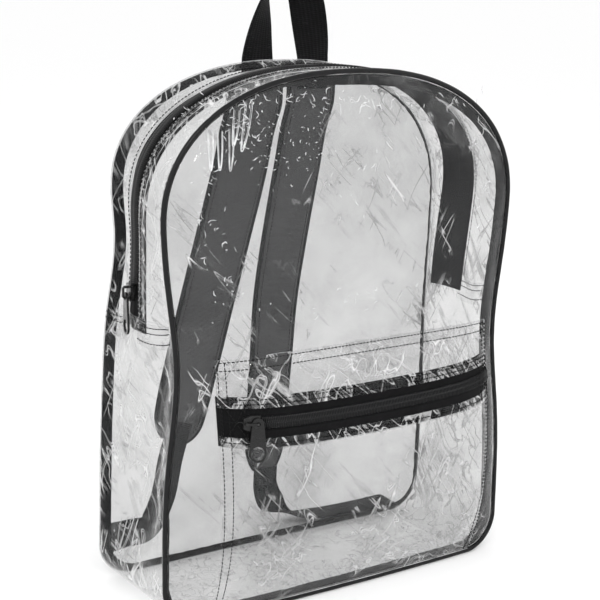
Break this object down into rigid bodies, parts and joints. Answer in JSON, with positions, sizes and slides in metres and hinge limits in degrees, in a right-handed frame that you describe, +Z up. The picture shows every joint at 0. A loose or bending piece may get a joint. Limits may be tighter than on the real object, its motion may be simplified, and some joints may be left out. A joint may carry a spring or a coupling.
{
  "type": "clear vinyl backpack",
  "caption": "Clear vinyl arched backpack with black piping, a zip over the top, a zipped front pocket, a webbing handle and shoulder straps behind.",
  "frame": {"origin": "middle of the flat foot that the bag stands on", "axes": "+Z up, -Y out of the front with the pocket, +X to the right seen from the front"},
  "size_m": [0.338, 0.2163, 0.504],
  "materials": {
    "clear_vinyl": "clear glossy vinyl sheet with soft creases",
    "piping": "smooth black piping",
    "zip_tape": "black woven tape",
    "zip_coil": "black nylon coil",
    "webbing": "black ribbed webbing",
    "strap_padding": "black padded woven fabric",
    "black_metal": "black enamelled metal"
  },
  "bodies": {
    "bag": {"front_panel": "clear_vinyl", "back_panel": "clear_vinyl", "lower_gusset": "clear_vinyl", "zip_gusset_front": "clear_vinyl", "zip_gusset_back": "clear_vinyl", "pocket_top": "clear_vinyl", "pocket_face": "clear_vinyl", "front_piping": "piping", "front_binding": "zip_tape", "back_binding": "zip_tape", "main_zip_front_tape": "zip_tape", "main_zip_back_tape": "zip_tape", "pocket_zip_upper_tape": "zip_tape", "pocket_zip_lower_tape": "zip_tape", "main_zip_chain": "zip_coil", "pocket_zip_chain": "zip_coil", "main_slider": "black_metal", "pocket_slider": "black_metal", "handle": "webbing", "strap_left": "strap_padding", "strap_right": "strap_padding", "strap_webbing_left": "webbing", "strap_webbing_right": "webbing", "strap_anchor_left": "webbing", "strap_anchor_right": "webbing"},
    "main_zip_pull": {"main_pull": "black_metal"},
    "pocket_zip_pull": {"pocket_pull": "black_metal"}
  },
  "joints": [
    {"name": "main_pull_swing", "type": "hinge", "parent": "bag", "child": "main_zip_pull", "pos_m": [-0.16254, 0.01351, 0.25412], "axis": [-0.9801, 0.1987, 0], "range_deg": [-90, 90]},
    {"name": "pocket_pull_swing", "type": "hinge", "parent": "bag", "child": "pocket_zip_pull", "pos_m": [-0.10836, -0.09471, 0.17177], "axis": [-0.339, -0.9264, 0.1637], "range_deg": [-35, 90]}
  ]
}
